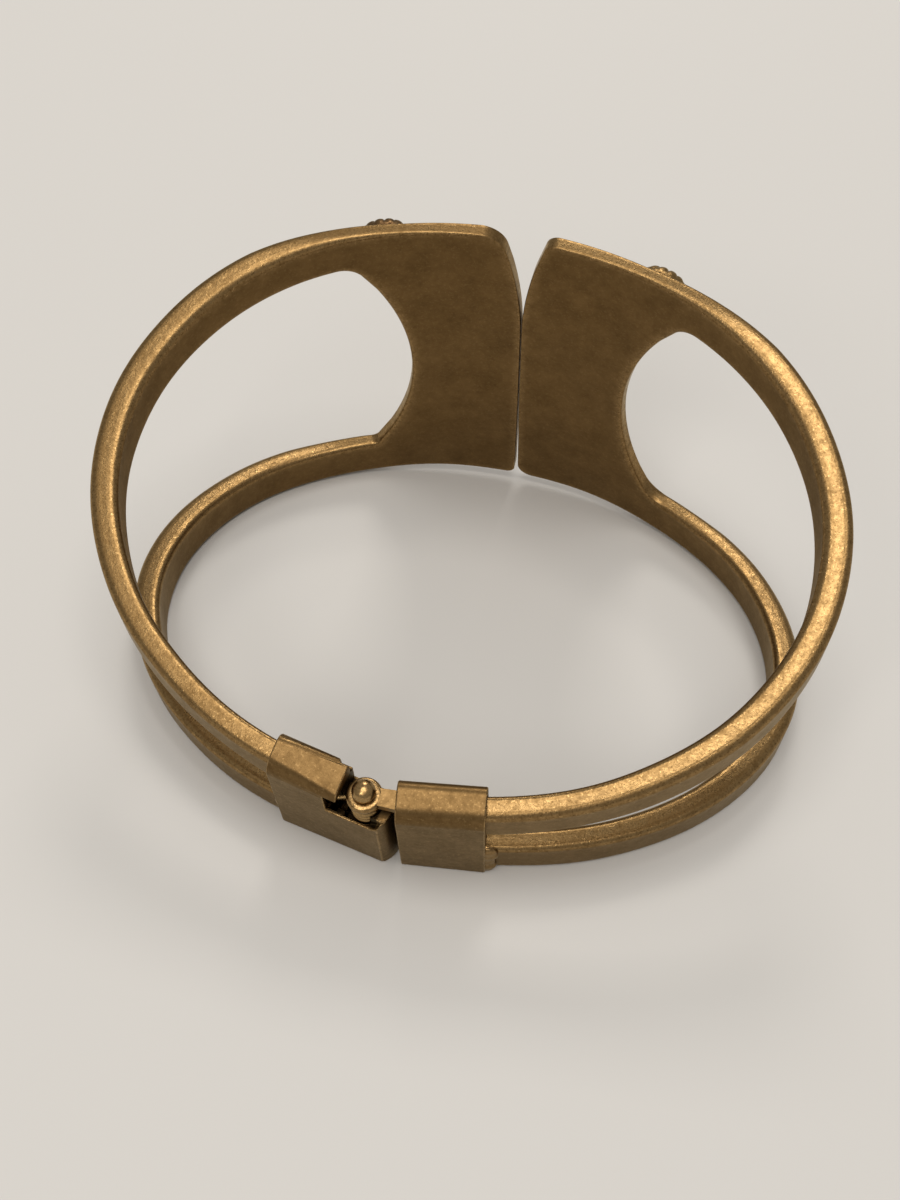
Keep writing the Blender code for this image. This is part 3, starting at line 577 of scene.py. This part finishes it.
def hinge_painted_shade(tree, place):
    """A mask of painted shade that is full beside the pin and inside the spring's well, and gone on the
    outer faces.

    The first is the distance from the pin's axis; the second is a block in the left box's axes.
    """
    offset = vector_maths(tree, "SUBTRACT", place, hinge["pos_m"])["Vector"]
    beside = vector_maths(tree, "CROSS_PRODUCT", offset, hinge["axis"])["Vector"]
    length = tree.nodes.new("ShaderNodeVectorMath")
    length.operation = "LENGTH"
    tree.links.new(beside, length.inputs[0])
    by_pin = remap(tree, length.outputs["Value"], SHADE_FULL_WITHIN, SHADE_GONE_BEYOND, SHADE_BY_PIN, 0.0)
    axes = (LEFT_AXES[1], LEFT_AXES[2], np.array([0.0, 0.0, 1.0]))
    middle = to_rest(PIN + sum(axis * way for axis, way in zip(axes, WELL_MIDDLE)))
    from_middle = vector_maths(tree, "SUBTRACT", place, middle)["Vector"]
    in_well = SHADE_IN_WELL
    for axis, half in zip(axes, WELL_HALF):
        way = vector_maths(tree, "DOT_PRODUCT", from_middle, TURN_TO_REST @ axis)["Value"]
        near = remap(tree, maths(tree, "ABSOLUTE", way, 0.0), half, half + WELL_FADE, 1.0, 0.0)
        in_well = maths(tree, "MULTIPLY", near, in_well)
    return maths(tree, "MAXIMUM", by_pin, in_well)


def rubbed_copy(name, node, material, edge_round, worn, keep_apart=False, cut_at=None, cut_way=None):
    """Copy of a solid with its sharp edges rounded, but for the pin's bore; the rounding is worn.

    Where a cut is given, what lies behind it is taken off first and the cut closed. Keep_apart makes
    the rounding smaller where it would run into itself.
    """
    bm = bmesh.new()
    bm.from_mesh(frame["nodes"][node].data)
    bmesh.ops.remove_doubles(bm, verts=bm.verts, dist=SAME_POINT)
    bmesh.ops.dissolve_limit(bm, angle_limit=FLAT_ANGLE, verts=bm.verts, edges=bm.edges)
    bmesh.ops.remove_doubles(bm, verts=bm.verts, dist=WELD)
    if cut_way is not None:
        everything = bm.verts[:] + bm.edges[:] + bm.faces[:]
        bmesh.ops.bisect_plane(bm, geom=everything, plane_co=cut_at, plane_no=cut_way, clear_inner=True)
        open_edges = [edge for edge in bm.edges if edge.is_boundary]
        bmesh.ops.holes_fill(bm, edges=open_edges)
    sharp = [edge for edge in bm.edges if edge.is_manifold and edge.calc_face_angle() > SHARP_ANGLE]
    sharp = [edge for edge in sharp if min(from_pin(vertex.co) for vertex in edge.verts) > HIDDEN_REACH]
    made = bmesh.ops.bevel(bm, geom=sharp, offset=edge_round, segments=BEVEL_STEPS, profile=0.5,
                           affect="EDGES", clamp_overlap=keep_apart)
    rounding = set(made["faces"])
    layer = bm.verts.layers.float.new("wear")
    for vertex in bm.verts:
        inside = all(face in rounding for face in vertex.link_faces)
        vertex[layer] = worn if inside else FLAT_WEAR
    mesh = bpy.data.meshes.new(name)
    bm.to_mesh(mesh)
    bm.free()
    mesh.materials.clear()
    mesh.materials.append(material)
    mesh.shade_smooth()
    mesh.set_sharp_from_angle(angle=CREASE_ANGLE)
    piece = bpy.data.objects.new(name, mesh)
    bpy.context.scene.collection.objects.link(piece)
    flat_faces = piece.modifiers.new("flat_faces", "WEIGHTED_NORMAL")
    flat_faces.keep_sharp = True
    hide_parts(node)
    return piece


# The hinge boxes take painted shade beside the pin and in the spring's well.
box_brass = brass("box_brass", patina=BOX_PATINA, pale=BOX_PALE, painted_shade=hinge_painted_shade)
left_box = rubbed_copy("left_box_sleeve", "left_hinge_box", box_brass, BOX_EDGE, BOX_WEAR)
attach(left_box, "left_side")
right_box = rubbed_copy("right_box_sleeve", "right_hinge_box", box_brass, BOX_EDGE, BOX_WEAR)
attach(right_box, "right_side")

# The hinge tongue
# A cast brass block in the right box, with an arm and a round eye that the pin holds. The block and
# arm are the cut solid with its edges rubbed; the eye is a thick ring with a well rounded rim.
TONGUE_PATINA = (0.15, 0.087, 0.032, 1.0)
TONGUE_PALE = (0.23, 0.14, 0.055, 1.0)
TONGUE_EDGE = 0.16 * MM
TONGUE_WEAR = 0.4
EYE_WEAR = 0.6
ARM_FROM_PIN = 1.15 * MM
EYE_BELOW_TOP = 1.25 * MM
EYE_THICKNESS = 0.9 * MM
EYE_INNER = 0.56 * MM
EYE_OUTER = 1.54 * MM
EYE_SQUARENESS = 0.7
BOX_PROUD = BOX_WALL + CLEARANCE
HINGE_TOP = HINGE_HEIGHT / 2 - RIM_SLOPE * BAND / 2 + BOX_PROUD
EYE_TOP = HINGE_TOP - EYE_BELOW_TOP


def turned(profile, steps=64):
    """Rings of a profile of (radius, level) turned about the pin's axis."""
    profile = np.array(profile)
    turn = np.linspace(0.0, 2 * math.pi, steps, endpoint=False)
    ring = np.stack([np.cos(turn), np.sin(turn)], axis=1)
    plan = profile[:, 0][:, None, None] * ring[None] + PIN[:2]
    level = np.broadcast_to(profile[:, 1][:, None, None], plan.shape[:2] + (1,))
    return to_rest(np.concatenate([plan, level], axis=2))


def eye_profile(steps=32):
    """Closed section of the eye: an oval squared a little, by a power of its sine and cosine."""
    turn = np.linspace(0.0, 2 * math.pi, steps, endpoint=False)
    wide = np.sign(np.cos(turn)) * np.abs(np.cos(turn)) ** EYE_SQUARENESS
    high = np.sign(np.sin(turn)) * np.abs(np.sin(turn)) ** EYE_SQUARENESS
    radius = (EYE_INNER + EYE_OUTER) / 2 + wide * (EYE_OUTER - EYE_INNER) / 2
    return np.stack([radius, EYE_TOP + (high - 1.0) * EYE_THICKNESS / 2], axis=1)


tongue_brass = brass("tongue_brass", patina=TONGUE_PATINA, pale=TONGUE_PALE)
arm_way = TURN_TO_REST @ RIGHT_AXES[1]
arm_cut = np.array(hinge["pos_m"]) + arm_way * ARM_FROM_PIN
tongue = rubbed_copy("tongue_block", "hinge_tongue", tongue_brass, TONGUE_EDGE, TONGUE_WEAR,
                     keep_apart=True, cut_at=arm_cut, cut_way=arm_way)
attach(tongue, "right_side")
eye_points = turned(eye_profile())
eye_wear = np.full(eye_points.shape[:2], EYE_WEAR)
eye = grid_mesh("tongue_eye", eye_points, eye_wear, tongue_brass, close_rows=True)
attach(eye, "right_side")

# The hinge pin
# A turned pin with a ball head, dropped down through the tongue's eye, the coil and the left box.
# Its head is rubbed bright.
PIN_PATINA = (0.20, 0.122, 0.048, 1.0)
PIN_PALE = (0.31, 0.195, 0.08, 1.0)
PIN_RELIEF = 0.006 * MM
PIN_WEAR = 0.7
PIN_RADIUS = 0.45 * MM
PIN_CAP_RADIUS = 0.09 * MM
PIN_CHAMFER = 0.1 * MM
BALL_RADIUS = 1.0 * MM
BALL_FLATTENING = 0.85
BALL_GAP = 0.06 * MM
BALL_FROM = -0.7
BALL_TO = math.pi / 2 - 0.05
PIN_FOOT_DEPTH = 2.4 * MM
PIN_FOOT = -(HINGE_HEIGHT / 2 - RIM_SLOPE * (BAND + PIN_FOOT_DEPTH) / 2)

pin_brass = brass("pin_brass", patina=PIN_PATINA, pale=PIN_PALE, relief=PIN_RELIEF)
ball_turn = np.linspace(BALL_FROM, BALL_TO, 26)
ball_rise = BALL_RADIUS * BALL_FLATTENING
ball_middle = EYE_TOP + BALL_GAP + ball_rise * math.sin(-BALL_FROM)
pin_profile = [(PIN_CAP_RADIUS, PIN_FOOT), (PIN_RADIUS - PIN_CHAMFER, PIN_FOOT)]
pin_profile += [(PIN_RADIUS, PIN_FOOT + PIN_CHAMFER), (PIN_RADIUS, EYE_TOP + BALL_GAP)]
ball = np.stack([BALL_RADIUS * np.cos(ball_turn), ball_middle + ball_rise * np.sin(ball_turn)], axis=1)
pin_points = turned(np.vstack([pin_profile, ball]))
pin = grid_mesh("ball_headed_pin", pin_points, np.full(pin_points.shape[:2], PIN_WEAR), pin_brass)
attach(pin, "left_side")
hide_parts("hinge_pin")

# The torsion spring
# Round brass wire wound closely round the pin under the tongue's eye, one leg in each box; it closes the
# bangle. In the real bangle the legs turn with their boxes and the coil winds up between them; here the
# wire is baked in place and attached to neither box.
SPRING_PATINA = (0.20, 0.125, 0.05, 1.0)
SPRING_PALE = (0.30, 0.20, 0.085, 1.0)
SPRING_WEAR = 0.6
WIRE_RADIUS = 0.32 * MM
COIL_RADIUS = 1.03 * MM
COIL_TURNS = 3
COIL_RISE = 2.086 * MM
LEFT_LEG = 2.8 * MM
RIGHT_LEG = 3.4 * MM
LEFT_LEG_ANGLE = math.radians(25.0)
RIGHT_LEG_ANGLE = math.radians(6.0)
COIL_BELOW_EYE = 0.55 * MM
COIL_TOP = EYE_TOP - EYE_THICKNESS - COIL_BELOW_EYE
COIL_BOTTOM = COIL_TOP - COIL_RISE


def spring_path():
    """Wire's middle line: a straight leg, a steady helix, a straight leg, in the left box's axes."""
    first = math.pi / 2 + LEFT_LEG_ANGLE
    sweep = 2 * math.pi * COIL_TURNS + LEFT_LEG_ANGLE + RIGHT_LEG_ANGLE
    share = np.linspace(0.0, 1.0, 60 * COIL_TURNS)
    turn = first - sweep * share
    level = COIL_BOTTOM + (COIL_TOP - COIL_BOTTOM) * share
    coil = np.stack([COIL_RADIUS * np.cos(turn), COIL_RADIUS * np.sin(turn), level], axis=1)
    run = np.linspace(1.0, 0.0, 20, endpoint=False)[:, None]
    left = coil[0] + run * LEFT_LEG * np.array([-math.sin(turn[0]), math.cos(turn[0]), 0.0])
    right = coil[-1] + run[::-1] * RIGHT_LEG * np.array([math.sin(turn[-1]), -math.cos(turn[-1]), 0.0])
    return np.vstack([left, coil, right])


def tube(path, radius, steps=20):
    """Rings of a round wire along a path, each square to the path and as level as it can be."""
    way = np.gradient(path, axis=0)
    way /= np.linalg.norm(way, axis=1)[:, None]
    side = np.cross(way, np.array([0.0, 0.0, 1.0]))
    side /= np.linalg.norm(side, axis=1)[:, None]
    up = np.cross(side, way)
    turn = np.linspace(0.0, 2 * math.pi, steps, endpoint=False)
    ring = np.cos(turn)[None, :, None] * side[:, None] + np.sin(turn)[None, :, None] * up[:, None]
    return path[:, None] + radius * ring


wire = tube(spring_path(), WIRE_RADIUS)
spring_axes = np.stack([LEFT_AXES[1], LEFT_AXES[2], [0.0, 0.0, 1.0]])
spring_points = to_rest(PIN + wire @ spring_axes)
spring_brass = brass("spring_brass", patina=SPRING_PATINA, pale=SPRING_PALE)
spring_wear = np.full(spring_points.shape[:2], SPRING_WEAR)
spring = grid_mesh("coiled_spring", spring_points, spring_wear, spring_brass)
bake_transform(spring)
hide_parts("torsion_spring")

# The solder
# Brass solder that has run out of the boxes' mouths round the lower rails: a broad skirt on the
# right, and a small bead on the left.
SOLDER_PATINA = (0.16, 0.094, 0.036, 1.0)
SOLDER_PALE = (0.27, 0.17, 0.075, 1.0)
SOLDER_THICKNESS = 0.42 * MM
SOLDER_DEPTH = 1.12 * MM
LUMP = 2.9 * MM
LUMPINESS = 0.10
SMALL_LUMPINESS = 0.04
SMALL_LUMPS_PER_LUMP = 2.3
END_SQUARENESS = 12
END_LEAST = 0.0004
RIGHT_SKIRT_LEVELS = np.array([-0.7, -6.2]) * MM
RIGHT_SKIRT_WIDTHS = np.array([0.9, 1.0, 0.9, 0.85, 0.8]) * MM
RIGHT_SKIRT_WEAR = 0.3
LEFT_BEAD_LEVELS = np.array([-1.1, -2.4]) * MM
LEFT_BEAD_WIDTHS = np.array([0.3, 0.42, 0.3]) * MM
LEFT_BEAD_WEAR = 0.4


def solder_skirt(axes, mouth, levels, widths, steps=28):
    """A bar down the box's mouth, oval in section, whose width follows values given down its length.

    Its thickness and width also swell in uneven lumps; it is rounded off at both ends.
    """
    far = np.linspace(0.0, 1.0, 90)
    given = np.linspace(0.0, 1.0, len(widths))
    level = levels[0] + (levels[1] - levels[0]) * far
    end = np.sqrt(np.clip(1.0 - (2.0 * far - 1.0) ** END_SQUARENESS, END_LEAST, 1.0))
    swing = 2 * math.pi * level / LUMP
    lumps = 1.0 + LUMPINESS * np.sin(swing)
    lumps += SMALL_LUMPINESS * np.sin(SMALL_LUMPS_PER_LUMP * swing + 1.0)
    wide = np.interp(far, given, widths) * lumps * end
    thick = SOLDER_THICKNESS * lumps * end
    turn = np.linspace(0.0, 2 * math.pi, steps, endpoint=False)
    along = mouth + wide[:, None] * np.cos(turn)
    across = -SOLDER_DEPTH + thick[:, None] * np.sin(turn)
    plan = axes[0] + along[..., None] * axes[1] + across[..., None] * axes[2]
    return to_rest(plan + level[:, None, None] * np.array([0.0, 0.0, 1.0]))


solder_brass = brass("solder_brass", patina=SOLDER_PATINA, pale=SOLDER_PALE)
right_mouth = (RIGHT_BOX_START - RIGHT_AXES[0][0]) / RIGHT_AXES[1][0]
right_skirt_points = solder_skirt(RIGHT_AXES, right_mouth, RIGHT_SKIRT_LEVELS, RIGHT_SKIRT_WIDTHS)
right_skirt_wear = np.full(right_skirt_points.shape[:2], RIGHT_SKIRT_WEAR)
right_skirt = grid_mesh("right_solder_skirt", right_skirt_points, right_skirt_wear, solder_brass)
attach(right_skirt, "right_side")
left_mouth = (-LEFT_BOX_START - LEFT_AXES[0][0]) / LEFT_AXES[1][0]
left_bead_points = solder_skirt(LEFT_AXES, left_mouth, LEFT_BEAD_LEVELS, LEFT_BEAD_WIDTHS)
left_bead_wear = np.full(left_bead_points.shape[:2], LEFT_BEAD_WEAR)
left_bead = grid_mesh("left_solder_bead", left_bead_points, left_bead_wear, solder_brass)
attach(left_bead, "left_side")

# The ornaments
# A low oval boss set with granules, cast in brass and soldered to the outer face of each plate, just
# under its rim. Only its top shows over the rim from the wearer's side; the left one is darker.
DARK_BOSS_PATINA = (0.060, 0.028, 0.012, 1.0)
DARK_BOSS_PALE = (0.12, 0.062, 0.026, 1.0)
LEFT_BOSS_WEAR = 0.2
RIGHT_BOSS_WEAR = 0.45
ORNAMENT_LENGTH = 4.4 * MM
ORNAMENT_HEIGHT = 2.8 * MM
DOME_RISE = 1.2 * MM
GRANULE_RADIUS = 0.40 * MM
GRANULE_RISE = 0.5
GRANULES = 12
GRANULE_RING = 0.74
GRANULE_TURN = 0.2
BOSS_BACK = 0.3
BOSS_TOP = math.pi / 2 - 0.02
ORNAMENT_FROM_SPLIT = 12.2 * MM
ORNAMENT_BELOW_RIM = 1.5 * MM


def ornament_grid(side, rings=64, steps=160):
    """Rings of a dome set with granules.

    Ovals shrink by a cosine as the dome rises by a sine, and the half balls of the granules, one in
    the middle and the rest in an oval ring, are added to its height.
    """
    x, y = oval_place(ORNAMENT_FROM_SPLIT, PLATE)
    inner_x, inner_y = oval_place(ORNAMENT_FROM_SPLIT, 0.0)
    outward = np.array([side * (x - inner_x), y - inner_y, 0.0])
    outward /= np.linalg.norm(outward)
    up = np.array([0.0, 0.0, 1.0])
    sideways = np.cross(up, outward)
    centre = np.array([side * x, y, float(rim_at(ORNAMENT_FROM_SPLIT)) - ORNAMENT_BELOW_RIM])
    rise = np.linspace(0.0, BOSS_TOP, rings)
    turn = np.linspace(0.0, 2 * math.pi, steps, endpoint=False)
    half = np.array([ORNAMENT_LENGTH, ORNAMENT_HEIGHT]) / 2
    oval = np.stack([np.cos(turn), np.sin(turn)], axis=1) * half
    plan = np.concatenate([[BOSS_BACK], np.cos(rise)])[:, None, None] * oval
    spot_turn = np.linspace(0.0, 2 * math.pi, GRANULES - 1, endpoint=False) + GRANULE_TURN
    spots = np.stack([np.cos(spot_turn), np.sin(spot_turn)], axis=1) * half * GRANULE_RING
    spots = np.vstack([spots, [0.0, 0.0]])
    far = np.linalg.norm(plan[:, :, None] - spots, axis=-1)
    balls = np.sqrt(np.clip(GRANULE_RADIUS ** 2 - far ** 2, 0.0, None)).max(axis=-1)
    dome = DOME_RISE * np.sin(rise)[:, None] + GRANULE_RISE * balls[1:]
    height = np.concatenate([np.zeros((1, steps)), dome])
    return to_rest(centre + plan[..., :1] * sideways + plan[..., 1:] * up + height[..., None] * outward)


boss_brass = brass("boss_brass")
dark_boss_brass = brass("dark_boss_brass", patina=DARK_BOSS_PATINA, pale=DARK_BOSS_PALE)
left_boss_points = ornament_grid(-1)
left_boss_wear = np.full(left_boss_points.shape[:2], LEFT_BOSS_WEAR)
left_boss = grid_mesh("left_boss", left_boss_points, left_boss_wear, dark_boss_brass)
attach(left_boss, "left_side")
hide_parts("left_ornament")
right_boss_points = ornament_grid(1)
right_boss_wear = np.full(right_boss_points.shape[:2], RIGHT_BOSS_WEAR)
right_boss = grid_mesh("right_boss", right_boss_points, right_boss_wear, boss_brass)
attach(right_boss, "right_side")
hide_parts("right_ornament")

# Floor, light and camera
# A plain pale floor, soft light from above, and the camera where the photograph was taken from.
FLOOR_SIZE = 12.0
FLOOR_COLOUR = (0.60, 0.59, 0.575, 1.0)
FLOOR_ROUGHNESS = 0.9
FLOOR_GLOSS = 0.1
SKY_COLOUR = (1.0, 0.98, 0.95, 1.0)
SKY_STRENGTH = 0.38
LAMP_COLOUR = (1.0, 0.95, 0.88)
LAMP_TARGET = (0.0, 0.0, 15.0 * MM)
CEILING_PLACE = (0.02, -0.12, 0.55)
CEILING_STRENGTH = 1.55
CEILING_SPREAD = math.radians(38.0)
BACK_PLACE = (-0.05, 0.40, 0.45)
BACK_SIZE = 0.18
FRONT_PLACE = (-0.10, -0.44, 0.42)
FRONT_SIZE = 0.22
SOFT_LAMP_POWER = 0.8

floor_mesh = bpy.data.meshes.new("floor")
floor_corners = np.array([[-1, -1, 0], [1, -1, 0], [1, 1, 0], [-1, 1, 0]]) * FLOOR_SIZE / 2
floor_mesh.from_pydata(floor_corners, [], [(0, 1, 2, 3)])
floor = bpy.data.objects.new("floor", floor_mesh)
bpy.context.scene.collection.objects.link(floor)
floor_paint = bpy.data.materials.new("floor_paint")
floor_paint.use_nodes = True
floor_shader = floor_paint.node_tree.nodes["Principled BSDF"]
floor_shader.inputs["Base Color"].default_value = FLOOR_COLOUR
floor_shader.inputs["Roughness"].default_value = FLOOR_ROUGHNESS
floor_shader.inputs["Specular IOR Level"].default_value = FLOOR_GLOSS
floor_mesh.materials.append(floor_paint)

world = bpy.data.worlds.new("studio")
bpy.context.scene.world = world
world.use_nodes = True
sky = world.node_tree.nodes["Background"]
sky.inputs["Color"].default_value = SKY_COLOUR
sky.inputs["Strength"].default_value = SKY_STRENGTH


def lamp_at(name, kind, place, power):
    """A lamp of warm white light that faces the bangle."""
    lamp = bpy.data.lights.new(name, kind)
    lamp.energy = power
    lamp.color = LAMP_COLOUR
    item = bpy.data.objects.new(name, lamp)
    bpy.context.scene.collection.objects.link(item)
    item.location = place
    item.rotation_euler = (Vector(LAMP_TARGET) - Vector(place)).to_track_quat("-Z", "Y").to_euler()
    return lamp


ceiling_light = lamp_at("ceiling_light", "SUN", CEILING_PLACE, CEILING_STRENGTH)
ceiling_light.angle = CEILING_SPREAD
back_light = lamp_at("back_light", "AREA", BACK_PLACE, SOFT_LAMP_POWER)
back_light.size = BACK_SIZE
front_light = lamp_at("front_light", "AREA", FRONT_PLACE, SOFT_LAMP_POWER)
front_light.size = FRONT_SIZE

CAMERA_PLACE = (16.4 * MM, -94.7 * MM, 111.6 * MM)
CAMERA_AZIMUTH = math.radians(10.6)
CAMERA_ELEVATION = math.radians(47.1)
CAMERA_ROLL = math.radians(4.0)
CAMERA_LENS = 45.0
CAMERA_NEAR = 5.0 * MM

camera = bpy.data.objects.new("camera", bpy.data.cameras.new("camera"))
bpy.context.scene.collection.objects.link(camera)
camera.data.lens = CAMERA_LENS
camera.data.clip_start = CAMERA_NEAR
turn_round = Matrix.Rotation(CAMERA_AZIMUTH, 3, "Z")
tilt = Matrix.Rotation(math.pi / 2 - CAMERA_ELEVATION, 3, "X")
roll = Matrix.Rotation(CAMERA_ROLL, 3, "Z")
camera.location = CAMERA_PLACE
camera.rotation_euler = (turn_round @ tilt @ roll).to_euler()
bpy.context.scene.camera = camera
bpy.context.scene.view_settings.view_transform = "Standard"
